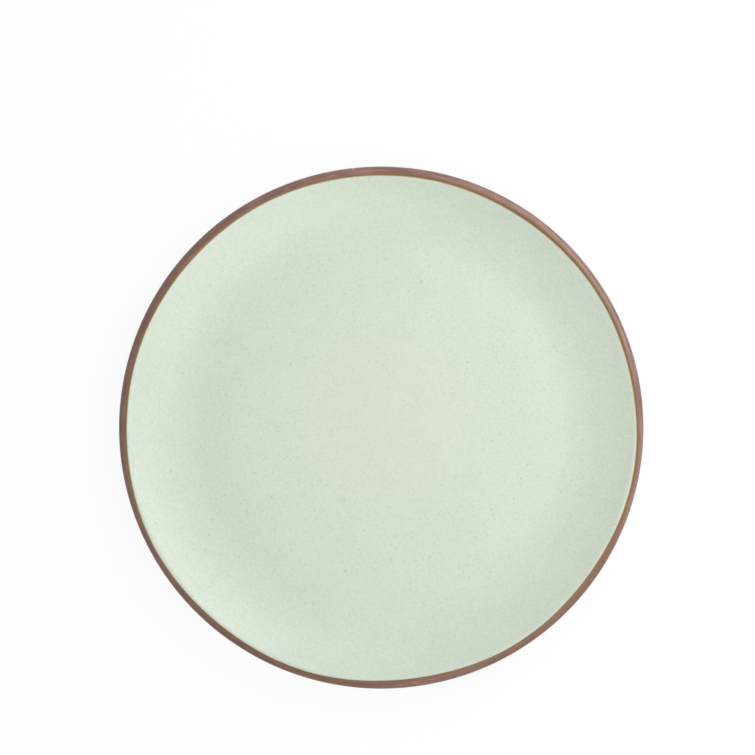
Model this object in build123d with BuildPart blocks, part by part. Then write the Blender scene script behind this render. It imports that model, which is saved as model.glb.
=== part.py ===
from build123d import *
from math import atan2, cos, degrees, radians, sin, tan
import os

# A coupe dinner plate in stoneware: a turned clay body under three coats of glaze.
# Lengths are in millimetres. Z is the plate's axis, and its foot ring stands on Z = 0.
# The section is drawn on its right half, with the radius as X and the height as Y.
# Angles are in degrees. A slope is that of the clay's surface, and rises outwards.

# Eating surface, from the middle outwards
plate_diameter = 273.0
dish_radius = 56.0           # the floor sinks very slightly inside this radius
dish_slope = 1.2
floor_radius = 93.5          # the ring where the floor ends and the wall starts to lift
floor_edge_slope = -0.8
wall_bend_width = 16.0       # from that ring out to the foot of the wall
wall_foot_slope = 14.0
wall_top_slope = 29.0

# Thickness of the clay
floor_thickness = 5.6
wall_thickness = 6.0

# Lip
lip_inner_round = 3.0        # between the wall and the crest
lip_under_round = 1.3        # below the outermost edge

# Foot ring
foot_height = 3.0
foot_ring_radius = 88.0      # to the middle of its width
foot_ring_width = 4.0        # where it stands, before its edges are rounded
foot_draft = 20.0            # of each side, off upright
foot_root_round = 2.0
foot_edge_round = 0.8

# Glaze
coat_thickness = 0.4
coat_edge_rounding = 0.75    # share of the thickness that rounds off where a coat ends
bare_lip_width = 4.0         # wiped clean above and below, measured in from the outermost edge
bare_foot_height = 1.2       # wiped clean up each side of the foot ring


def turn_out(edge, reach, heading):
    """Go on from the edge's end in a tangent arc that reaches a radius with a new heading."""
    start, direction = edge @ 1, edge % 1
    old_heading = degrees(atan2(direction.Y, direction.X))
    sine_change = sin(radians(heading)) - sin(radians(old_heading))
    radius = abs((reach - start.X) / sine_change)
    return JernArc(start, direction, radius, heading - old_heading)


# The lip rounds over from its crest to its outermost edge, by as much as the wall leaves room for.
wall_top = radians(wall_top_slope)
lip_room = wall_thickness - lip_inner_round * (1 - cos(wall_top)) - lip_under_round * (1 - sin(wall_top))
lip_outer_round = lip_room / (sin(wall_top) + cos(wall_top))
plate_radius = plate_diameter / 2
crest_radius = plate_radius - lip_outer_round
wall_top_radius = crest_radius - lip_inner_round * sin(wall_top)
wall_foot_radius = floor_radius + wall_bend_width

# Outside, the wall runs parallel to its inner face, then bends down to the underside of the floor.
DOWN = -90
INWARD = -180
wall_foot = radians(wall_foot_slope)
under_top_radius = plate_radius - lip_under_round * (1 - sin(wall_top))
under_foot_radius = wall_foot_radius + wall_thickness * sin(wall_foot)

# The foot ring's sides lean in to the table. They are drawn up into the floor, so that the two join.
foot_top = foot_height + floor_thickness / 2
foot_spread = foot_top * tan(radians(foot_draft))
foot_inner = foot_ring_radius - foot_ring_width / 2
foot_outer = foot_ring_radius + foot_ring_width / 2
foot_corners = [
    (foot_inner - foot_spread, foot_top), (foot_inner, 0), (foot_outer, 0), (foot_outer + foot_spread, foot_top)
]

with BuildSketch(Plane.XZ) as clay_section:
    with BuildLine():
        middle = Vector(0, foot_height + floor_thickness)
        dish = JernArc(middle, (1, 0), dish_radius / sin(radians(dish_slope)), dish_slope)
        floor_edge = turn_out(dish, floor_radius, floor_edge_slope)
        wall_bend = turn_out(floor_edge, wall_foot_radius, wall_foot_slope)
        wall = turn_out(wall_bend, wall_top_radius, wall_top_slope)
        crest = turn_out(wall, crest_radius, 0)
        lip = turn_out(crest, plate_radius, DOWN)
        lip_under = turn_out(lip, under_top_radius, INWARD + wall_top_slope)
        wall_under = turn_out(lip_under, under_foot_radius, INWARD + wall_foot_slope)
        drop = (wall_under @ 1).Y - foot_height
        bend_under = JernArc(wall_under @ 1, wall_under % 1, drop / (1 - cos(wall_foot)), -wall_foot_slope)
        floor_under = Line(bend_under @ 1, (0, foot_height))
        Line(floor_under @ 1, middle)
    make_face()
    with BuildLine():
        Polyline(*foot_corners, close=True)
    make_face()
    foot_roots = (
        clay_section.vertices()
        .filter_by_position(Axis.X, foot_corners[0][0], foot_corners[-1][0])
        .filter_by_position(Axis.Y, 0, foot_top, inclusive=(False, False))
    )
    fillet(foot_roots, foot_root_round)
    fillet(clay_section.vertices().group_by(Axis.Y)[0], foot_edge_round)

# The plate is glazed all over, then wiped clean at the lip and at the foot, which leaves three coats.
beyond = plate_diameter      # long enough to wipe right past a coat
with BuildSketch(Plane.XZ) as glaze_section:
    add(clay_section.sketch_local)
    offset(amount=coat_thickness)
    add(clay_section.sketch_local, mode=Mode.SUBTRACT)
    Rectangle(beyond, beyond, align=(Align.MAX, Align.CENTER), mode=Mode.SUBTRACT)
    with Locations((plate_radius - bare_lip_width, 0)):
        Rectangle(beyond, beyond, align=(Align.MIN, Align.CENTER), mode=Mode.SUBTRACT)
    with Locations((foot_ring_radius, bare_foot_height)):
        Rectangle(foot_ring_width + 2 * foot_spread, beyond, align=(Align.CENTER, Align.MAX), mode=Mode.SUBTRACT)
    well_coat, back_coat, front_coat = glaze_section.faces().sort_by(Axis.Y)
    coat_edges = [
        front_coat.vertices().group_by(Axis.X)[-1].sort_by(Axis.Y)[-1],
        back_coat.vertices().group_by(Axis.X)[-1].sort_by(Axis.Y)[0],
        back_coat.vertices().group_by(Axis.Y)[0].sort_by(Axis.X)[-1],
        well_coat.vertices().group_by(Axis.Y)[0].sort_by(Axis.X)[0],
    ]
    fillet(coat_edges, coat_edge_rounding * coat_thickness)
well_coat, back_coat, front_coat = glaze_section.faces().sort_by(Axis.Y)

with BuildPart() as clay_body:
    with BuildSketch(Plane.XZ):
        add(clay_section.sketch_local)
    revolve(axis=Axis.Z)
clay_body.part.label = "clay_body"

with BuildPart() as front_glaze:
    with BuildSketch(Plane.XZ):
        add(front_coat)
    revolve(axis=Axis.Z)
front_glaze.part.label = "front_glaze"

with BuildPart() as back_glaze:
    with BuildSketch(Plane.XZ):
        add(back_coat)
    revolve(axis=Axis.Z)
back_glaze.part.label = "back_glaze"

with BuildPart() as foot_well_glaze:
    with BuildSketch(Plane.XZ):
        add(well_coat)
    revolve(axis=Axis.Z)
foot_well_glaze.part.label = "foot_well_glaze"

os.makedirs("parts", exist_ok=True)
export_step(clay_body.part, "parts/clay_body.step")
export_step(front_glaze.part, "parts/front_glaze.step")
export_step(back_glaze.part, "parts/back_glaze.step")
export_step(foot_well_glaze.part, "parts/foot_well_glaze.step")
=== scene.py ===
"""A stoneware dinner plate: a turned clay body with a bare lip and foot ring, under three coats of glaze.

Laid out as an add-on. Run as a script, it makes every piece over the frame and sets the stage.
"""

import cmath
import math

import bmesh
import bpy
from bpy.props import FloatProperty, FloatVectorProperty, IntProperty, PointerProperty
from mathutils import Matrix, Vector


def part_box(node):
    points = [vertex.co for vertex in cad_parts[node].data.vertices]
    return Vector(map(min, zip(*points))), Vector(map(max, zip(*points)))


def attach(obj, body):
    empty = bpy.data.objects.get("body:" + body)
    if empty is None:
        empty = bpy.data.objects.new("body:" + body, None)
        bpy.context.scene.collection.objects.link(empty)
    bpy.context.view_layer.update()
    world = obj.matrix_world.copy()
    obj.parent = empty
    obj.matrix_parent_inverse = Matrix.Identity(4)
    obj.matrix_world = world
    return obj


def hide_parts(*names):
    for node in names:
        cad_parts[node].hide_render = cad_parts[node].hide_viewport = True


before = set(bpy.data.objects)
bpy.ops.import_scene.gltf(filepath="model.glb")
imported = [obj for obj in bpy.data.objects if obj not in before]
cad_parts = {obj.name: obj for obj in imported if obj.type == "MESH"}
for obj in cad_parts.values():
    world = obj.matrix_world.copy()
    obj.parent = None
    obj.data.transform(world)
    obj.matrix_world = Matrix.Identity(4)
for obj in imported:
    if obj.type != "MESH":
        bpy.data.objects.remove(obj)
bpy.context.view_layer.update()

bl_info = {
    "name": "Stoneware Dinner Plate",
    "version": (1, 0, 0),
    "blender": (4, 5, 0),
    "location": "3D View > Sidebar > Plate",
    "description": "Makes a turned stoneware dinner plate and the stage it stands on",
    "category": "Object",
}

BODY = "root"

# Lengths are in metres. Angles in a table are in degrees, and a heading is one about the axis, from +X.
PLATE_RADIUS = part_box("clay_body")[1].x
PLATE_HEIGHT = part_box("clay_body")[1].z

# Reading the outline of the CAD model's clay, and dotting it for a smooth surface
MERGE = 1e-6
ON_ARC = 2e-6
IN_LINE = 1e-7
FEWEST_POINTS = 20
ARC_STEP = math.radians(5)
LONGEST_RUN = 0.004
FIT = 5e-5

# How often round the plate the wiped glaze line runs in and out; 0 is the same all round
LINE_WAVES = (0, 1, 2, 3, 7, 8)

# Where the firing starts to move a surface and where it moves it fully, by height and by distance out
SAG_RISE = (0.003, 0.008)
WAVER_REACH = (0.095, 0.13)

# Where a mark on the glaze or the clay begins to fade, and where it is gone
POOL_REACH = (0.0006, 0.0032)
EDGE_REACH = (0.00022, 0.00058)
WARM_REACH = (0.005, 0.075)
STAIN_REACH = (0.0003, 0.0026)
NICK_REACH = (0.0004, 0.001)

# The middle of the warmer patch, how far in from the rim and between which heights the nick lies,
# and a shift that gives a second set of clouds their own places
WARM_MIDDLE = complex(0.002, 0.007)
NICK_INSET = 0.0007
NICK_RISE = (0.003, 0.006)
ELSEWHERE = (0.31, 0.17, 0.07)

WHITE = (1.0, 1.0, 1.0)
FLOOR_HALF = 3.0
SENSOR_MILLIMETRES = 36


def srgb(red, green, blue):
    """A colour given in 0 to 255 screen values, as the linear values that nodes use."""
    return tuple(
        v / 12.92 if v <= 0.04045 else ((v + 0.055) / 1.055) ** 2.4
        for v in (c / 255 for c in (red, green, blue))
    )


def colour(name, value, description):
    return FloatVectorProperty(
        name=name, description=description, subtype="COLOR", size=3, min=0, max=1, default=srgb(*value)
    )


def length(name, value, description):
    return FloatProperty(
        name=name, description=description, default=value, unit="LENGTH", subtype="DISTANCE", precision=5
    )


def angle(name, degrees, description):
    return FloatProperty(
        name=name, description=description, default=math.radians(degrees), unit="ROTATION", subtype="ANGLE"
    )


def share(name, value, description):
    return FloatProperty(name=name, description=description, default=value, min=0, max=1, subtype="FACTOR")


def divisions(name, value, fewest, description):
    return IntProperty(name=name, description=description, default=value, min=fewest)


# ---------------------------------------------------------------- settings


class PlateForm(bpy.types.PropertyGroup):
    """Sizes of the turned clay and its coats."""

    clay_turns: divisions("Clay turns", 540, 24, "Faces round the clay")
    coat_turns: divisions("Coat turns", 640, 24, "Faces round a glaze coat")
    coat_rings: divisions("Coat rings", 72, 8, "Rings on each side of a glaze coat")
    coat: length("Glaze thickness", 0.00033, "Thickness of a coat away from its wiped edges")
    bead: length("Glaze edge", 0.0009, "How far in from a wiped edge the coat reaches its full thickness")
    sink: length("Glaze bite", 0.00002, "How far a coat reaches into the clay")
    sag: length("Sag", 0.00012, "Most that the fired surface has sunk")
    waver: length("Rim waver", 0.00006, "Most that the rim runs in from a true circle")
    band_waves: FloatVectorProperty(
        name="Band waves",
        description="How far in the wiped line lies, all round and in one, two, three, seven and eight waves",
        size=len(LINE_WAVES),
        default=(0.00013, 0.00093, 0.00034, 0.00028, 0.00014, 0.00022),
        unit="LENGTH",
        precision=5,
    )
    band_headings: FloatVectorProperty(
        name="Band headings",
        description="The side of the plate towards which each of those waves makes the bare lip wider",
        size=len(LINE_WAVES),
        default=tuple(math.radians(a) for a in (0.0, 82.1, 98.5, 40.7, 19.8, 6.8)),
        unit="ROTATION",
    )
    band_ripple: length("Band ripple", 0.00012, "How far the wiped glaze line wanders")
    band_ripple_run: length("Band ripple run", 0.009, "Distance between the ripples of a wiped glaze line")


class PlateFinish(bpy.types.PropertyGroup):
    """Colours and surface of the clay and glaze."""

    glaze: colour("Glaze", (218, 229, 211), "Main colour of the glaze")
    glaze_wall: colour("Glaze on the wall", (209, 220, 204), "Colour that the glaze turns to towards the lip")
    glaze_light: colour("Glaze light", (222, 232, 214), "Lighter patches of the glaze")
    glaze_deep: colour("Glaze deep", (203, 215, 195), "Darker patches of the glaze")
    glaze_cream: colour("Glaze cream", (218, 226, 200), "Warmer patches of the glaze")
    glaze_warm: colour("Glaze warm", (223, 228, 205), "The middle, where the glaze fired warmer")
    glaze_mint: colour("Glaze mint", (211, 225, 213), "Cooler patches of the glaze")
    glaze_pool: colour("Glaze pool", (212, 227, 218), "Colour just inside the wiped edge")
    glaze_edge: colour("Glaze edge", (176, 148, 84), "Colour of the thin wiped edge over the clay")
    speck: colour("Speck", (194, 200, 160), "Fine iron specks")
    tan_speck: colour("Tan speck", (176, 176, 138), "Larger tan specks")
    dark_speck: colour("Dark speck", (136, 130, 104), "The few dark specks")
    edge_strength: share("Edge strength", 0.9, "How much of its own colour the wiped edge has")
    glaze_roughness: share("Glaze roughness", 0.32, "Satin gloss of the glaze")
    peel: length("Orange peel", 0.00006, "Depth of the dimples in the glaze")
    clay: colour("Clay", (137, 101, 89), "Main colour of the bare clay")
    clay_dark: colour("Clay dark", (95, 69, 62), "Dark streaks in the clay")
    clay_pink: colour("Clay pink", (168, 132, 119), "Pale pinkish streaks in the clay")
    clay_red: colour("Clay red", (134, 92, 73), "The side where the clay fired redder")
    clay_ochre: colour("Clay ochre", (124, 94, 62), "Stain where the glaze was wiped away")
    clay_nick: colour("Clay nick", (186, 172, 168), "A small nick in the lip, where the clay is paler")
    # Painted light and shade: the clay is drawn paler on the side the lamps light and darker on the side
    # across from it. This stands in for how light falls on the lip and is not a mark of the firing.
    painted_light_side: share("Painted light", 0.3, "How much paler the clay fired on one side, and darker across from it")
    painted_light_heading: angle("Flash heading", 18.0, "Where round the plate the clay fired palest")
    redness: share("Redness", 0.85, "How much of the redder colour the clay took on its reddest side")
    red_heading: angle("Red heading", 300.0, "Where round the plate the clay fired reddest")
    nick_heading: angle("Nick heading", 96.2, "The side of the plate where that nick is")
    clay_roughness: share("Clay roughness", 0.31, "Sheen of the bare clay")


class PlateStage(bpy.types.PropertyGroup):
    """Camera, floor and lights."""

    camera_height: angle("Camera elevation", 83.5, "How far above the horizon the camera is")
    camera_distance: length("Camera distance", 1.5, "From the point looked at to the camera")
    camera_aim_x: length("Aim across", -0.00197, "Point looked at, across the plate")
    camera_aim_y: length("Aim back", 0.02556, "Point looked at, towards the back")
    focal: FloatProperty(name="Lens", description="Focal length in millimetres", default=136.6, min=10)
    room_light: share("Room light", 0.29, "Even light from all round")
    window_light: share("Window light", 0.377, "Share of the floor's light that the main lamp gives")
    top_light: share("Top light", 0.195, "Share of the floor's light that the high lamp gives")
    front_light: share("Front light", 0.07, "Share of the floor's light that the two low far lamps give")
    left_light: share("Left light", 0.115, "Share of the floor's light that the lamp on the left gives")
    paper_shade: share("Paper shade", 0.55, "How much light the paper throws back at the plate")
    white_share: share("Floor white", 0.93, "How much of the floor seen by the camera is plain white")


# ---------------------------------------------------------------- nodes


class Flow:
    """An output of a node that can be added, multiplied and so on, each as one Math node."""

    def __init__(self, make, socket):
        self.make, self.socket = make, socket

    def _both(self, operation, other, swap=False):
        return self.make.math(operation, *((other, self) if swap else (self, other)))

    def __add__(self, other):
        return self._both("ADD", other)

    def __radd__(self, other):
        return self._both("ADD", other, True)

    def __sub__(self, other):
        return self._both("SUBTRACT", other)

    def __rsub__(self, other):
        return self._both("SUBTRACT", other, True)

    def __mul__(self, other):
        return self._both("MULTIPLY", other)

    def __rmul__(self, other):
        return self._both("MULTIPLY", other, True)

    def __truediv__(self, other):
        return self._both("DIVIDE", other)

    def __rtruediv__(self, other):
        return self._both("DIVIDE", other, True)


class Maker:
    """Adds nodes to one tree. A value for a node is a number, a colour or another node's output."""

    def __init__(self, tree):
        self.tree = tree

    def feed(self, socket, value):
        if isinstance(value, Flow):
            value = value.socket
        if isinstance(value, bpy.types.NodeSocket):
            self.tree.links.new(value, socket)
        elif socket.type == "RGBA" and len(value) == 3:
            socket.default_value = (*value, 1)
        else:
            socket.default_value = value

    def add(self, kind, inputs=None, **settings):
        node = self.tree.nodes.new(kind)
        for name, value in settings.items():
            setattr(node, name, value)
        for name, value in (inputs or {}).items():
            self.feed(node.inputs[name], value)
        return node

    def flow(self, node, output=0):
        return Flow(self, node.outputs[output])

    def math(self, operation, *values, clamp=False):
        node = self.add("ShaderNodeMath", dict(enumerate(values)), operation=operation, use_clamp=clamp)
        return self.flow(node)

    def clamp(self, value):
        return self.math("ADD", value, 0.0, clamp=True)

    def limit(self, value):
        """The value, kept from -1 to 1."""
        return self.math("MAXIMUM", self.math("MINIMUM", value, 1.0), -1.0)

    def hypot(self, x, y):
        """How far a place x across and y back from a point is from it."""
        return self.math("SQRT", x * x + y * y)

    def circle(self, angle, radius):
        """The two coordinates of a point on a circle about the axis."""
        return radius * self.math("COSINE", angle), radius * self.math("SINE", angle)

    def step(self, value, low, high, to_low=0.0, to_high=1.0):
        """The value carried from low..high to to_low..to_high, smoothly and no further."""
        node = self.add(
            "ShaderNodeMapRange",
            {"Value": value, "From Min": low, "From Max": high, "To Min": to_low, "To Max": to_high},
            interpolation_type="SMOOTHSTEP",
        )
        return self.flow(node)

    def fade(self, value, reach):
        """1 for a value below a reach, and 0 for one past its end."""
        return 1.0 - self.step(value, *reach)

    def mix(self, factor, a, b):
        """Colour a with colour b over it, by the factor."""
        return self.flow(self.add("ShaderNodeMix", {0: factor, 6: a, 7: b}, data_type="RGBA"), 2)

    def xyz(self, x=0.0, y=0.0, z=0.0):
        return self.flow(self.add("ShaderNodeCombineXYZ", {0: x, 1: y, 2: z}))

    def parts(self, vector):
        node = self.add("ShaderNodeSeparateXYZ", {0: vector})
        return [self.flow(node, i) for i in range(3)]

    def vector(self, operation, *values):
        node = self.add("ShaderNodeVectorMath", dict(enumerate(values)), operation=operation)
        return self.flow(node)

    def noise(self, vector, scale=1.0, detail=2.0, roughness=0.5):
        node = self.add(
            "ShaderNodeTexNoise",
            {"Vector": vector, "Scale": scale, "Detail": detail, "Roughness": roughness},
        )
        return self.flow(node)

    def group(self, tree, inputs, kind):
        return self.add(kind, inputs, node_tree=tree)


def new_group(name, kind, inputs, outputs):
    """A node group with named sockets, with its maker, its input values by name and its output node."""
    tree = bpy.data.node_groups.new(name, kind)
    for label, socket_type, default in inputs:
        socket = tree.interface.new_socket(label, in_out="INPUT", socket_type=f"NodeSocket{socket_type}")
        if default is not None:
            socket.default_value = default
    for label, socket_type in outputs:
        tree.interface.new_socket(label, in_out="OUTPUT", socket_type=f"NodeSocket{socket_type}")
    make = Maker(tree)
    given = tree.nodes.new("NodeGroupInput")
    taken = tree.nodes.new("NodeGroupOutput")
    values = {label: Flow(make, given.outputs[label]) for label, _, _ in inputs}
    return tree, make, values, taken


# ---------------------------------------------------------------- the section


def trace_section(node):
    """The outline of a turned CAD solid at y = 0, from the middle of its top to the middle of its underside.

    A point is a complex number: its distance from the axis, and its height.
    """
    cut = bmesh.new()
    cut.from_mesh(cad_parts[node].data)
    bmesh.ops.remove_doubles(cut, verts=cut.verts, dist=MERGE)
    for normal, both in (((1, 0, 0), False), ((0, 1, 0), True)):
        bmesh.ops.bisect_plane(
            cut,
            geom=cut.verts[:] + cut.edges[:] + cut.faces[:],
            plane_co=(0, 0, 0),
            plane_no=normal,
            dist=MERGE / 10,
            clear_inner=True,
            clear_outer=both,
        )
    left = set(cut.verts)
    outline = [max((v for v in left if v.co.x < MERGE), key=lambda v: v.co.z)]
    while True:
        left.discard(outline[-1])
        following = [e.other_vert(outline[-1]) for e in outline[-1].link_edges]
        following = [v for v in following if v in left]
        if not following:
            break
        outline.append(following[0])
    points = [complex(max(v.co.x, 0.0), v.co.z) for v in outline]
    cut.free()
    if len(points) < FEWEST_POINTS or points[-1].real > MERGE:
        raise RuntimeError(f"the section of {node} could not be traced")
    return points


def arc_centre(a, b, c):
    """Centre of the circle through three points, or None where they are in line."""
    w = (c - a) / (b - a)
    if abs(w.imag) < IN_LINE:
        return None
    return a - (a - b) * (w - abs(w) ** 2) / (2j * w.imag)


def arc_end(points, start):
    """Where the arc from this point of the outline ends, and its centre; a straight run has no centre."""
    if start + 3 < len(points):
        centre = arc_centre(*points[start : start + 3])
        if centre is not None:
            radius = abs(points[start] - centre)
            end = start + 2
            while end + 1 < len(points) and abs(abs(points[end + 1] - centre) - radius) < ON_ARC:
                end += 1
            if end > start + 2:
                return end, centre
    return start + 1, None


def dot_section(points):
    """The same outline with dots close enough together for a smooth surface."""
    dots, start = [points[0]], 0
    while start < len(points) - 1:
        end, centre = arc_end(points, start)
        a, b = points[start], points[end]
        if centre is None:
            count = math.ceil(abs(b - a) / LONGEST_RUN)
            dots += [a + (b - a) * k / count for k in range(1, count + 1)]
        else:
            sweep = sum(
                cmath.phase((points[i + 1] - centre) / (points[i] - centre)) for i in range(start, end)
            )
            run = abs(sweep) * abs(a - centre)
            count = math.ceil(max(abs(sweep) / ARC_STEP, run / LONGEST_RUN))
            dots += [centre + (a - centre) * cmath.exp(1j * sweep * k / count) for k in range(1, count + 1)]
        start = end
    return dots


class Section:
    """The clay's outline, and the places along it where each coat of glaze was wiped off."""

    def __init__(self):
        self.dots = dot_section(trace_section("clay_body"))
        self.runs = [0.0]
        for a, b in zip(self.dots, self.dots[1:]):
            self.runs.append(self.runs[-1] + abs(b - a))
        front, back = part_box("front_glaze"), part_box("back_glaze")
        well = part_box("foot_well_glaze")
        self.lip_front = self.crossing("real", front[1].x, 0.0)
        self.lip_back = self.crossing("real", back[1].x, self.lip_front + FIT)
        self.foot_outside = self.crossing("imag", back[0].z, self.lip_back + FIT)
        self.foot_inside = self.crossing("imag", well[0].z, self.foot_outside + FIT)
        self.axis_under = self.runs[-1]

    def crossing(self, part, value, after):
        """The first length along the outline, past another, where one part of its points passes a value."""
        for i, run in enumerate(self.runs[:-1]):
            a, b = getattr(self.dots[i], part), getattr(self.dots[i + 1], part)
            if a != b and (a - value) * (b - value) <= 0:
                place = run + (value - a) / (b - a) * (self.runs[i + 1] - run)
                if place > after:
                    return place
        raise RuntimeError(f"the outline never passes {value:.5f} after {after:.5f}")

    def curve(self):
        """A helper curve of the outline, for the node trees to read."""
        data = bpy.data.curves.new("clay_section", "CURVE")
        data.dimensions = "3D"
        line = data.splines.new("POLY")
        line.points.add(len(self.dots) - 1)
        for point, dot in zip(line.points, self.dots):
            point.co = (dot.real, 0, dot.imag, 1)
        helper = bpy.data.objects.new("clay_section", data)
        bpy.context.scene.collection.objects.link(helper)
        return helper


# ---------------------------------------------------------------- trees for the shapes


LINE_INPUTS = [(f"{part} {count}", "Float", 0.0) for count in LINE_WAVES for part in ("Wave", "Heading")]
LINE_INPUTS += [("Ripple", "Float", 0.0), ("Ripple run", "Float", 0.01), ("Seed", "Float", 0.0)]


def glaze_line_group():
    """How far towards the middle a wiped glaze line has wandered, at an angle round the plate."""
    tree, make, given, taken = new_group(
        "Wiped glaze line",
        "GeometryNodeTree",
        [("Angle", "Float", 0.0), *LINE_INPUTS],
        [("Drift", "Float")],
    )
    turn = given["Angle"]
    waves = 0.0
    for count in LINE_WAVES:
        wave = given[f"Wave {count}"] * make.math("COSINE", count * (turn - given[f"Heading {count}"]))
        waves = wave + waves
    reach = PLATE_RADIUS / given["Ripple run"]
    place = make.xyz(*make.circle(turn, reach), given["Seed"])
    ripple = given["Ripple"] * 2.0 * (make.noise(place, detail=3.0, roughness=0.55) - 0.5)
    make.feed(taken.inputs["Drift"], waves + ripple)
    return tree


def fired_group():
    """The slight unevenness that firing leaves. It only ever moves a surface down or inwards."""
    tree, make, given, taken = new_group(
        "Fired unevenness",
        "GeometryNodeTree",
        [("Position", "Vector", None), ("Sag", "Float", 0.0), ("Waver", "Float", 0.0)],
        [("Position", "Vector")],
    )
    x, y, z = make.parts(given["Position"])
    out = make.hypot(x, y)
    flat = make.xyz(x, y, 0.0)
    drop = make.step(make.noise(flat, scale=19.0, detail=1.0), 0.3, 0.7)
    lifted = make.step(z, *SAG_RISE)
    rim = make.step(out, *WAVER_REACH)
    run_in = make.step(make.noise(flat, scale=11.0, detail=0.0), 0.3, 0.7)
    inwards = 1.0 - rim * run_in * (given["Waver"] / PLATE_RADIUS)
    moved = make.xyz(x * inwards, y * inwards, z - given["Sag"] * drop * lifted)
    make.feed(taken.inputs["Position"], moved)
    return tree


def wiped_line(make, given, line_tree, turn, seed=0.0):
    """The wiped line's drift at each angle, as a node of the shared group."""
    values = {label: given[label] for label, _, _ in LINE_INPUTS if label != "Seed"}
    node = make.group(
        line_tree, {"Angle": turn, **values, "Seed": given["Seed"] + seed}, "GeometryNodeGroup"
    )
    return make.flow(node)


def turned_grid(make, columns, rows):
    """A flat grid to be wrapped round the axis, with each point's angle and row."""
    grid = make.add(
        "GeometryNodeMeshGrid",
        {"Size X": 1.0, "Size Y": 1.0, "Vertices X": columns + 1.0, "Vertices Y": rows},
    )
    across, along, _ = make.parts(make.flow(make.add("GeometryNodeInputPosition")))
    turn = (0.5 - across) * math.tau
    row = make.math("ROUND", (along + 0.5) * (rows - 1.0))
    return grid.outputs["Mesh"], turn, row


def wrapped(make, mesh, turn, out, height, given, fired_tree):
    """Sets each point of the grid at its angle, distance out and height, and moves it as the firing did."""
    place = make.xyz(*make.circle(turn, out), height)
    fired = make.group(
        fired_tree, {"Position": place, "Sag": given["Sag"], "Waver": given["Waver"]}, "GeometryNodeGroup"
    )
    moved = make.add("GeometryNodeSetPosition", {"Geometry": mesh, "Position": fired.outputs[0]})
    return moved.outputs[0]


def finished(make, mesh, given, taken):
    """Merges the seam and poles, drops edges left without a face, smooths, and sets the material."""
    merged = make.add("GeometryNodeMergeByDistance", {"Geometry": mesh, "Distance": MERGE})
    faces = make.flow(make.add("GeometryNodeInputMeshEdgeNeighbors"))
    whole = make.add(
        "GeometryNodeDeleteGeometry",
        {"Geometry": merged.outputs[0], "Selection": make.math("LESS_THAN", faces, 0.5)},
        domain="EDGE",
        mode="EDGE_FACE",
    )
    smooth = make.add("GeometryNodeSetShadeSmooth", {"Geometry": whole.outputs[0], "Shade Smooth": True})
    real = make.add("GeometryNodeRealizeInstances", {"Geometry": smooth.outputs[0]})
    coloured = make.add(
        "GeometryNodeSetMaterial", {"Geometry": real.outputs[0], "Material": given["Material"]}
    )
    make.feed(taken.inputs["Geometry"], coloured.outputs[0])


def stored(make, mesh, name, value):
    """Keeps a value at each point, for the material to read."""
    node = make.add(
        "GeometryNodeStoreNamedAttribute",
        {"Geometry": mesh, "Name": name, "Value": value},
        data_type="FLOAT",
        domain="POINT",
    )
    return node.outputs[0]


def section_curve(make, given):
    """The clay's outline, from the helper curve."""
    info = make.add("GeometryNodeObjectInfo", {"Object": given["Section"]}, transform_space="ORIGINAL")
    return info.outputs["Geometry"]


def clay_tree(line_tree, fired_tree):
    """The clay: its whole outline, turned about the axis."""
    tree, make, given, taken = new_group(
        "Turned clay",
        "GeometryNodeTree",
        [
            ("Section", "Object", None),
            ("Dots", "Int", 10),
            ("Turns", "Int", 100),
            ("Lip front", "Float", 0.0),
            ("Lip back", "Float", 0.0),
            ("Foot outside", "Float", 0.0),
            ("Foot inside", "Float", 0.0),
            ("Sag", "Float", 0.0),
            ("Waver", "Float", 0.0),
            *LINE_INPUTS,
            ("Material", "Material", None),
        ],
        [("Geometry", "Geometry")],
    )
    curve = section_curve(make, given)
    mesh, turn, row = turned_grid(make, given["Turns"], given["Dots"])
    at_dot = make.add(
        "GeometryNodeSampleIndex",
        {"Geometry": curve, "Value": make.add("GeometryNodeInputPosition").outputs[0], "Index": row},
        data_type="FLOAT_VECTOR",
        domain="POINT",
    )
    along = make.add(
        "GeometryNodeSampleIndex",
        {"Geometry": curve, "Value": make.add("GeometryNodeSplineParameter").outputs["Length"], "Index": row},
        data_type="FLOAT",
        domain="POINT",
    )
    run = make.flow(along)
    out, _, height = make.parts(make.flow(at_dot))
    drift = wiped_line(make, given, line_tree, turn)
    from_front = run - (given["Lip front"] - drift)
    from_back = given["Lip back"] - run
    from_foot = make.math("MAXIMUM", given["Foot outside"] - run, run - given["Foot inside"]) * -1.0
    bare = make.math("MAXIMUM", make.math("MINIMUM", from_front, from_back), from_foot)
    mesh = stored(make, mesh, "run", run)
    mesh = stored(make, mesh, "from_glaze", bare)
    mesh = wrapped(make, mesh, turn, out, height, given, fired_tree)
    finished(make, mesh, given, taken)
    return tree


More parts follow.
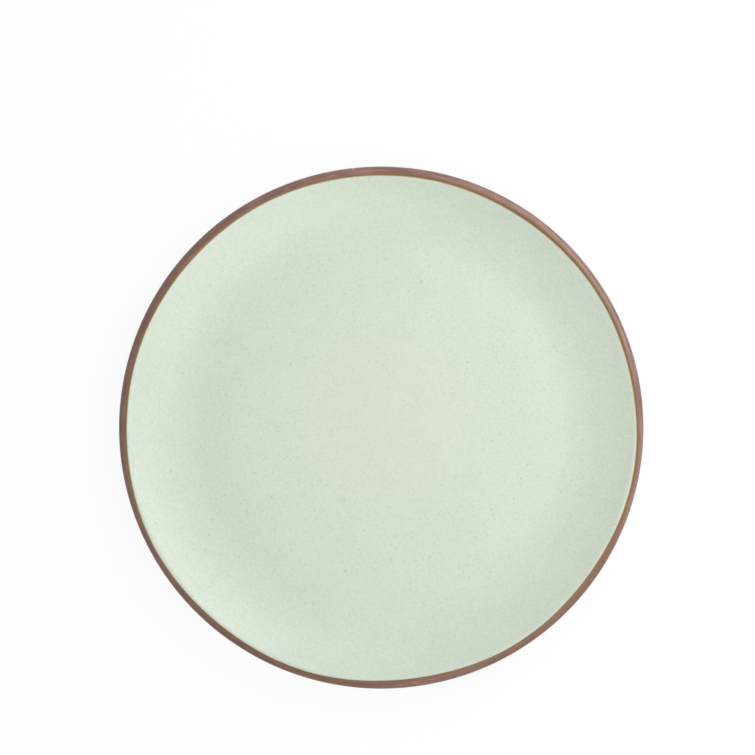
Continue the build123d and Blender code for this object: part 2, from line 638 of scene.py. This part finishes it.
def coat_tree(line_tree, fired_tree):
    """A coat of glaze: a thin shell over a stretch of the clay's outline, thinning out where it was wiped."""
    tree, make, given, taken = new_group(
        "Glaze coat",
        "GeometryNodeTree",
        [
            ("Section", "Object", None),
            ("From", "Float", 0.0),
            ("To", "Float", 0.1),
            ("Wiped start", "Float", 0.0),
            ("Wiped end", "Float", 1.0),
            ("Thickness", "Float", 0.0004),
            ("Edge", "Float", 0.001),
            ("Bite", "Float", 0.0),
            ("Turns", "Int", 100),
            ("Rings", "Int", 20),
            ("Sag", "Float", 0.0),
            ("Waver", "Float", 0.0),
            *LINE_INPUTS,
            ("Material", "Material", None),
        ],
        [("Geometry", "Geometry")],
    )
    rings = given["Rings"]
    mesh, turn, row = turned_grid(make, given["Turns"], rings * 2.0)
    under = make.math("GREATER_THAN", row, rings - 0.5)
    step = (row + under * (2.0 * rings - 1.0 - 2.0 * row)) / (rings - 1.0)
    first = (1.0 - given["Wiped start"]) * (math.pi / 2)
    last = (1.0 + given["Wiped end"]) * (math.pi / 2)
    start_cosine, end_cosine = make.math("COSINE", first), make.math("COSINE", last)
    part = (start_cosine - make.math("COSINE", first + (last - first) * step)) / (start_cosine - end_cosine)
    start = given["From"] + given["Wiped start"] * wiped_line(make, given, line_tree, turn, seed=7.0)
    end = given["To"] - given["Wiped end"] * wiped_line(make, given, line_tree, turn)
    run = start + (end - start) * part
    far = 1.0
    from_start = run - start + (1.0 - given["Wiped start"]) * far
    from_end = end - run + (1.0 - given["Wiped end"]) * far
    from_line = make.math("MAXIMUM", make.math("MINIMUM", from_start, from_end), 0.0)
    inside = 1.0 - make.clamp(from_line / given["Edge"])
    fullness = make.math("SQRT", make.math("MAXIMUM", 1.0 - inside * inside, 0.0))
    offset = fullness * (given["Thickness"] - under * (given["Thickness"] + given["Bite"]))
    on_clay = make.add(
        "GeometryNodeSampleCurve", {"Curves": section_curve(make, given), "Length": run}, mode="LENGTH"
    )
    out, _, height = make.parts(on_clay.outputs["Position"])
    ahead, _, climb = make.parts(on_clay.outputs["Tangent"])
    moved_out = make.math("MAXIMUM", out - climb * offset, 0.0)
    on_axis = make.math("GREATER_THAN", out, MERGE)
    mesh = stored(make, mesh, "from_line", from_line)
    mesh = wrapped(make, mesh, turn, moved_out * on_axis, height + ahead * offset, given, fired_tree)
    finished(make, mesh, given, taken)
    return tree


def made_by_nodes(name, tree, values):
    """A plain mesh piece made by a geometry tree, whose inputs are set by name."""
    mesh = bpy.data.meshes.new(f"{name}_start")
    piece = bpy.data.objects.new(name, mesh)
    bpy.context.scene.collection.objects.link(piece)
    modifier = piece.modifiers.new(tree.name, "NODES")
    modifier.node_group = tree
    for item in tree.interface.items_tree:
        if item.item_type == "SOCKET" and item.in_out == "INPUT":
            modifier[item.identifier] = values[item.name]
    bpy.context.view_layer.update()
    evaluated = piece.evaluated_get(bpy.context.evaluated_depsgraph_get())
    made = bpy.data.meshes.new_from_object(evaluated)
    piece.modifiers.remove(modifier)
    piece.data = made
    made.name = name
    bpy.data.meshes.remove(mesh)
    checked(piece)
    return piece


def checked(piece):
    """Stops on a shell that is open or inside out."""
    shell = bmesh.new()
    shell.from_mesh(piece.data)
    loose = [e for e in shell.edges if len(e.link_faces) != 2]
    volume = shell.calc_volume(signed=True)
    count = len(shell.faces)
    shell.free()
    print(f"{piece.name}: {count} faces, {len(loose)} open edges, {volume * 1e9:.1f} mm3")
    if loose or volume <= 0:
        raise RuntimeError(f"{piece.name} has {len(loose)} open edges and a volume of {volume}")


# ---------------------------------------------------------------- surface groups


def specks_group():
    """Round specks of iron, one in each of a share of the cells that fill space."""
    tree, make, given, taken = new_group(
        "Iron specks",
        "ShaderNodeTree",
        [
            ("Position", "Vector", None),
            ("Spacing", "Float", 0.003),
            ("Size", "Float", 0.0003),
            ("Share", "Float", 0.5),
            ("Soft", "Float", 0.5),
        ],
        [("Mask", "Float")],
    )
    cells = make.add("ShaderNodeTexVoronoi", {"Vector": given["Position"], "Scale": 1.0 / given["Spacing"]})
    away = make.flow(cells, "Distance") * given["Spacing"]
    pick, size, weight = make.parts(cells.outputs["Color"])
    reach = given["Size"] * (0.5 + size * 0.8)
    spot = 1.0 - make.step(away / reach, 1.0 - given["Soft"], 1.0)
    kept = make.math("LESS_THAN", pick, given["Share"])
    make.feed(taken.inputs["Mask"], spot * kept * (0.4 + weight * 0.6))
    return tree


def clouds_group():
    """Soft uneven patches, from -1 to 1."""
    tree, make, given, taken = new_group(
        "Soft clouds",
        "ShaderNodeTree",
        [
            ("Position", "Vector", None),
            ("Size", "Float", 0.01),
            ("Detail", "Float", 2.0),
            ("Grain", "Float", 0.5),
            ("Reach", "Float", 0.2),
        ],
        [("Value", "Float")],
    )
    value = make.noise(
        given["Position"], scale=1.0 / given["Size"], detail=given["Detail"], roughness=given["Grain"]
    )
    make.feed(taken.inputs["Value"], make.limit((value - 0.5) / given["Reach"]))
    return tree


def peel_group():
    """The shallow dimples that a fired glaze has, as a height in metres."""
    tree, make, given, taken = new_group(
        "Orange peel",
        "ShaderNodeTree",
        [("Position", "Vector", None), ("Size", "Float", 0.0015), ("Depth", "Float", 0.00001)],
        [("Height", "Float")],
    )
    value = make.noise(given["Position"], scale=1.0 / given["Size"], detail=1.5, roughness=0.45)
    make.feed(taken.inputs["Height"], value * given["Depth"])
    return tree


def turning_group():
    """Streaks that run round the plate, as the turner's sponge leaves them, from -1 to 1."""
    tree, make, given, taken = new_group(
        "Turning streaks",
        "ShaderNodeTree",
        [
            ("Position", "Vector", None),
            ("Run", "Float", 0.0),
            ("Width", "Float", 0.0005),
            ("Length", "Float", 0.02),
            ("Detail", "Float", 2.0),
            ("Reach", "Float", 0.2),
        ],
        [("Value", "Float")],
    )
    x, y, _ = make.parts(given["Position"])
    out = make.math("MAXIMUM", make.hypot(x, y), MERGE)
    turns = PLATE_RADIUS / given["Length"]
    place = make.xyz(x / out * turns, y / out * turns, given["Run"] / given["Width"])
    value = make.noise(place, detail=given["Detail"], roughness=0.6)
    make.feed(taken.inputs["Value"], make.limit((value - 0.5) / given["Reach"]))
    return tree


class Surfaces:
    """The node groups that the materials share, each built once."""

    def __init__(self):
        self.specks = specks_group()
        self.clouds = clouds_group()
        self.peel = peel_group()
        self.turning = turning_group()


def blank(holder):
    """Empties the node tree of a new material or world, and gives its maker."""
    holder.use_nodes = True
    holder.node_tree.nodes.clear()
    return Maker(holder.node_tree)


def new_material(name):
    """A material with its maker, the position on the piece, and a function that uses a shared group there."""
    material = bpy.data.materials.new(name)
    make = blank(material)
    position = make.add("ShaderNodeTexCoord").outputs["Object"]

    def use(tree, **inputs):
        return make.flow(make.group(tree, {"Position": position, **inputs}, "ShaderNodeGroup"))

    return material, make, position, use


def attribute(make, name):
    return make.flow(make.add("ShaderNodeAttribute", attribute_name=name), "Fac")


def shaded(make, tone, roughness, height, ior):
    """Ends a material in a Principled BSDF, with its fine relief as a bump."""
    bump = make.add("ShaderNodeBump", {"Height": height, "Distance": 1.0, "Strength": 1.0})
    shader = make.add(
        "ShaderNodeBsdfPrincipled",
        {"Base Color": tone, "Roughness": roughness, "Normal": bump.outputs[0], "IOR": ior},
    )
    make.add("ShaderNodeOutputMaterial", {"Surface": shader.outputs[0]})


def glaze_material(name, surfaces, finish, warm_middle):
    """Satin glaze with soft clouds, iron specks and a thin stained edge."""
    material, make, position, use = new_material(name)
    x, y, _ = make.parts(position)
    reach = make.hypot(x, y) / PLATE_RADIUS
    tone = make.mix(reach * reach, finish.glaze, finish.glaze_wall)
    grain = use(surfaces.clouds, Size=0.0016, Detail=2.0, Grain=0.7, Reach=0.25)
    broad = use(surfaces.clouds, Size=0.013, Detail=2.0, Grain=0.6, Reach=0.25)
    depth = 0.7 * grain + 0.2 * broad
    tone = make.mix(make.clamp(depth), tone, finish.glaze_light)
    tone = make.mix(make.clamp(-1.0 * depth), tone, finish.glaze_deep)
    elsewhere = make.vector("ADD", position, ELSEWHERE)
    warmth = use(surfaces.clouds, Position=elsewhere, Size=0.0024, Detail=2.0, Grain=0.6, Reach=0.25)
    tone = make.mix(make.clamp(0.55 * warmth), tone, finish.glaze_cream)
    tone = make.mix(make.clamp(-0.55 * warmth), tone, finish.glaze_mint)
    if warm_middle:
        away = make.hypot(x - WARM_MIDDLE.real, y - WARM_MIDDLE.imag)
        tone = make.mix(make.fade(away, WARM_REACH) * 0.4, tone, finish.glaze_warm)
    from_line = attribute(make, "from_line")
    tone = make.mix(make.fade(from_line, POOL_REACH) * 0.35, tone, finish.glaze_pool)
    fine = use(surfaces.specks, Spacing=0.002, Size=0.00058, Share=0.75, Soft=0.8)
    tone = make.mix(fine * 0.6, tone, finish.speck)
    tan = use(surfaces.specks, Spacing=0.0034, Size=0.00062, Share=0.6, Soft=0.7)
    tone = make.mix(tan * 0.37, tone, finish.tan_speck)
    dark = use(surfaces.specks, Spacing=0.007, Size=0.0006, Share=0.35, Soft=0.6)
    tone = make.mix(dark * 0.44, tone, finish.dark_speck)
    ragged = use(surfaces.clouds, Size=0.0012, Detail=1.0, Reach=0.3)
    edge = make.fade(from_line + ragged * 0.00006, EDGE_REACH)
    heavier = make.step(y, -PLATE_RADIUS, -0.6 * PLATE_RADIUS, 0.35, 1.0)
    tone = make.mix(edge * heavier * finish.edge_strength, tone, finish.glaze_edge)
    satin = use(surfaces.clouds, Size=0.006, Detail=2.0, Reach=0.3)
    height = use(surfaces.peel, Size=0.0015, Depth=finish.peel)
    shaded(make, tone, finish.glaze_roughness + satin * 0.03, height, ior=1.5)
    return material


def clay_material(name, surfaces, finish):
    """Bare fired clay: streaks left by turning and sponging, grog, a stain beside the glaze, and painted
    light and shade round the lip.
    """
    material, make, position, use = new_material(name)
    x, y, z = make.parts(position)
    run = attribute(make, "run")
    from_glaze = attribute(make, "from_glaze")
    streaks = use(surfaces.turning, Run=run, Width=0.0007, Length=0.022, Detail=3.0, Reach=0.22)
    fine_streaks = use(surfaces.turning, Run=run, Width=0.00028, Length=0.007, Detail=2.0, Reach=0.25)
    blotch = use(surfaces.clouds, Size=0.012, Detail=3.0, Reach=0.22)
    grog = use(surfaces.specks, Spacing=0.0009, Size=0.0002, Share=0.5, Soft=0.5)
    # Painted light and shade: the clay is drawn paler towards the lit side and darker on the side across from
    # it. This is added to the paleness of the streaks and blotches below.
    painted_light_side = cmath.rect(finish.painted_light_side / PLATE_RADIUS, finish.painted_light_heading)
    light = 0.6 * streaks + 0.6 * fine_streaks + 0.35 * blotch + x * painted_light_side.real + y * painted_light_side.imag
    glow = cmath.rect(finish.redness / PLATE_RADIUS, finish.red_heading)
    tone = make.mix(make.clamp(x * glow.real + y * glow.imag), finish.clay, finish.clay_red)
    tone = make.mix(make.clamp(light), tone, finish.clay_pink)
    tone = make.mix(make.clamp(-1.0 * light), tone, finish.clay_dark)
    stain = make.fade(from_glaze + streaks * 0.0002, STAIN_REACH)
    heavier = make.step(x, -PLATE_RADIUS, PLATE_RADIUS, 0.55, 1.0)
    tone = make.mix(stain * heavier, tone, finish.clay_ochre)
    tone = make.mix(grog * 0.3, tone, finish.clay_pink)
    nick = cmath.rect(PLATE_RADIUS - NICK_INSET, finish.nick_heading)
    chipped = make.fade(make.hypot(x - nick.real, y - nick.imag), NICK_REACH) * make.step(z, *NICK_RISE)
    tone = make.mix(chipped * 0.9, tone, finish.clay_nick)
    height = 0.000014 * streaks + 0.000008 * fine_streaks + 0.000008 * grog
    shaded(make, tone, finish.clay_roughness + 0.06 * fine_streaks, height, ior=1.45)
    return material


# ---------------------------------------------------------------- operators


SHARED = {}


def shared(name, build):
    """A thing that several operators use, built by the first that needs it."""
    if name not in SHARED:
        SHARED[name] = build()
    return SHARED[name]


def section():
    return shared("section", Section)


def section_object():
    return shared("section object", lambda: section().curve())


def drop_section_object():
    """Removes the helper curve, once every piece is made."""
    helper = SHARED.pop("section object")
    data = helper.data
    bpy.data.objects.remove(helper)
    bpy.data.curves.remove(data)


def trees():
    """The trees for the clay and for a coat, which share two groups."""

    def build():
        line_tree, fired_tree = glaze_line_group(), fired_group()
        return {"clay": clay_tree(line_tree, fired_tree), "coat": coat_tree(line_tree, fired_tree)}

    return shared("trees", build)


def line_values(form, stray=1.0, seed=0.0):
    """The inputs that shape a wiped line. A line with no stray follows the CAD model but for its ripple."""
    values = {"Ripple": form.band_ripple, "Ripple run": form.band_ripple_run, "Seed": seed}
    for count, wave, heading in zip(LINE_WAVES, form.band_waves, form.band_headings):
        values |= {f"Wave {count}": wave * stray, f"Heading {count}": heading}
    return values


def settle(piece, node, slot):
    """Puts a finished piece on the body, in place of its CAD node."""
    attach(piece, BODY)
    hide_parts(node)


class PLATE_OT_clay(bpy.types.Operator):
    """Turn the clay body"""

    bl_idname = "plate.clay"
    bl_label = "Clay body"

    def execute(self, context):
        form, finish = context.scene.plate_form, context.scene.plate_finish
        surfaces = shared("surfaces", Surfaces)
        line = section()
        piece = made_by_nodes(
            "plate_clay",
            trees()["clay"],
            {
                "Section": section_object(),
                "Dots": len(line.dots),
                "Turns": form.clay_turns,
                "Lip front": line.lip_front,
                "Lip back": line.lip_back,
                "Foot outside": line.foot_outside,
                "Foot inside": line.foot_inside,
                "Sag": form.sag,
                "Waver": form.waver,
                **line_values(form),
                "Material": clay_material("bare_clay", surfaces, finish),
            },
        )
        settle(piece, "clay_body", "bare_clay")
        return {"FINISHED"}


class PLATE_OT_glaze(bpy.types.Operator):
    """Lay the three coats of glaze"""

    bl_idname = "plate.glaze"
    bl_label = "Glaze coats"

    def execute(self, context):
        form, finish = context.scene.plate_form, context.scene.plate_finish
        surfaces = shared("surfaces", Surfaces)
        line = section()
        # Each coat's CAD node, where it starts and ends along the outline, whether it was wiped at its start
        # and at its end, how much its wiped line strays and the seed of its ripple
        coats = (
            ("front_glaze", 0.0, line.lip_front, 0.0, 1.0, 1.0, 0.0),
            ("back_glaze", line.lip_back, line.foot_outside, 1.0, 1.0, 0.0, 3.0),
            ("foot_well_glaze", line.foot_inside, line.axis_under, 1.0, 0.0, 0.0, 5.0),
        )
        for node, start, end, wiped_start, wiped_end, stray, seed in coats:
            piece = made_by_nodes(
                f"plate_{node}",
                trees()["coat"],
                {
                    "Section": section_object(),
                    "From": start,
                    "To": end,
                    "Wiped start": wiped_start,
                    "Wiped end": wiped_end,
                    "Thickness": form.coat,
                    "Edge": form.bead,
                    "Bite": form.sink,
                    "Turns": form.coat_turns,
                    "Rings": form.coat_rings,
                    "Sag": form.sag,
                    "Waver": form.waver,
                    **line_values(form, stray, seed),
                    "Material": glaze_material(node, surfaces, finish, node == "front_glaze"),
                },
            )
            settle(piece, node, node)
        drop_section_object()
        return {"FINISHED"}


def white_to_camera(make):
    """1 for rays that would show the background: straight from the camera, mirrored or through glass."""
    path = make.add("ShaderNodeLightPath")
    seen = make.math("MAXIMUM", make.flow(path, "Is Camera Ray"), make.flow(path, "Is Glossy Ray"))
    return make.math("MAXIMUM", seen, make.flow(path, "Is Transmission Ray"))


def floor_material(stage):
    """Pale paper that takes the plate's shadow, and shows as white as the room behind it."""
    material = bpy.data.materials.new("floor_paper")
    make = blank(material)
    shows = white_to_camera(make)
    tone = make.mix(shows, (stage.paper_shade,) * 3, WHITE)
    paper = make.add("ShaderNodeBsdfDiffuse", {"Color": tone})
    white = make.add("ShaderNodeEmission", {"Color": WHITE, "Strength": 1.0})
    seen = make.add(
        "ShaderNodeMixShader",
        {0: shows * stage.white_share, 1: paper.outputs[0], 2: white.outputs[0]},
    )
    make.add("ShaderNodeOutputMaterial", {"Surface": seen.outputs[0]})
    return material


def lamp(name, heading, elevation, distance, size, share_of_light):
    """A square soft lamp facing the plate, bright enough to give the floor that share of its light."""
    data = bpy.data.lights.new(name, "AREA")
    data.shape = "SQUARE"
    data.size = size
    toward = cmath.rect(math.cos(elevation), heading)
    direction = Vector((toward.real, toward.imag, math.sin(elevation)))
    data.energy = share_of_light * (math.pi * distance) ** 2 / math.sin(elevation)
    holder = bpy.data.objects.new(name, data)
    holder.location = direction * distance
    holder.rotation_euler = direction.to_track_quat("Z", "Y").to_euler()
    bpy.context.scene.collection.objects.link(holder)


def paint_world(stage):
    """A room that lights the plate evenly and shows as plain white."""
    world = bpy.data.worlds.new("room")
    bpy.context.scene.world = world
    make = blank(world)
    room = make.add("ShaderNodeBackground", {"Color": WHITE, "Strength": stage.room_light})
    white = make.add("ShaderNodeBackground", {"Color": WHITE, "Strength": 1.0})
    both = make.add(
        "ShaderNodeMixShader", {0: white_to_camera(make), 1: room.outputs[0], 2: white.outputs[0]}
    )
    make.add("ShaderNodeOutputWorld", {"Surface": both.outputs[0]})


def lay_floor(stage):
    """A wide square of paper for the plate to stand on."""
    floor = bpy.data.objects.new("floor", bpy.data.meshes.new("floor"))
    corners = [(-1, -1), (1, -1), (1, 1), (-1, 1)]
    floor.data.from_pydata([(x * FLOOR_HALF, y * FLOOR_HALF, 0) for x, y in corners], [], [range(4)])
    floor.data.materials.append(floor_material(stage))
    bpy.context.scene.collection.objects.link(floor)


def hang_lamps(stage):
    """The main lamp, a high one and a low pair across from it, and a softer one on the left."""
    # Each lamp's heading and elevation, its distance and size, and its share of the floor's light
    for name, heading, elevation, distance, size, part in (
        ("window", 43, 39, 0.7, 0.55, stage.window_light),
        ("top_lamp", 315, 61, 0.7, 0.45, stage.top_light),
        ("front_lamp", 285, 15, 1.6, 0.9, stage.front_light / 2),
        ("right_lamp", 345, 15, 1.6, 0.9, stage.front_light / 2),
        ("left_lamp", 195, 45, 0.7, 0.45, stage.left_light),
    ):
        lamp(name, math.radians(heading), math.radians(elevation), distance, size, part)


def place_camera(stage):
    """The camera, in front of the plate and nearly straight above it."""
    aim = Vector((stage.camera_aim_x, stage.camera_aim_y, PLATE_HEIGHT / 2))
    direction = Vector((0, -math.cos(stage.camera_height), math.sin(stage.camera_height)))
    data = bpy.data.cameras.new("camera")
    data.sensor_width = SENSOR_MILLIMETRES
    data.lens = stage.focal
    camera = bpy.data.objects.new("camera", data)
    camera.location = aim + direction * stage.camera_distance
    camera.rotation_euler = direction.to_track_quat("Z", "Y").to_euler()
    bpy.context.scene.collection.objects.link(camera)
    bpy.context.scene.camera = camera


class PLATE_OT_stage(bpy.types.Operator):
    """Set the floor, the soft lamps and the camera"""

    bl_idname = "plate.stage"
    bl_label = "Stage"

    def execute(self, context):
        stage = context.scene.plate_stage
        lay_floor(stage)
        paint_world(stage)
        hang_lamps(stage)
        place_camera(stage)
        context.scene.view_settings.view_transform = "Standard"
        return {"FINISHED"}


class PLATE_PT_panel(bpy.types.Panel):
    """Lists the plate's operators and settings"""

    bl_label = "Stoneware plate"
    bl_idname = "PLATE_PT_panel"
    bl_space_type = "VIEW_3D"
    bl_region_type = "UI"
    bl_category = "Plate"

    def draw(self, context):
        for operator in (PLATE_OT_clay, PLATE_OT_glaze, PLATE_OT_stage):
            self.layout.operator(operator.bl_idname)
        for name in ("plate_form", "plate_finish", "plate_stage"):
            group = getattr(context.scene, name)
            box = self.layout.box()
            for item in group.bl_rna.properties:
                if item.identifier not in ("rna_type", "name"):
                    box.prop(group, item.identifier)


CLASSES = (PlateForm, PlateFinish, PlateStage, PLATE_OT_clay, PLATE_OT_glaze, PLATE_OT_stage, PLATE_PT_panel)
SETTINGS = {"plate_form": PlateForm, "plate_finish": PlateFinish, "plate_stage": PlateStage}


def register():
    for item in CLASSES:
        bpy.utils.register_class(item)
    for name, group in SETTINGS.items():
        setattr(bpy.types.Scene, name, PointerProperty(type=group))


def unregister():
    for name in SETTINGS:
        delattr(bpy.types.Scene, name)
    for item in reversed(CLASSES):
        bpy.utils.unregister_class(item)


def main():
    register()
    bpy.ops.plate.clay()
    bpy.ops.plate.glaze()
    bpy.ops.plate.stage()


if __name__ == "__main__":
    main()
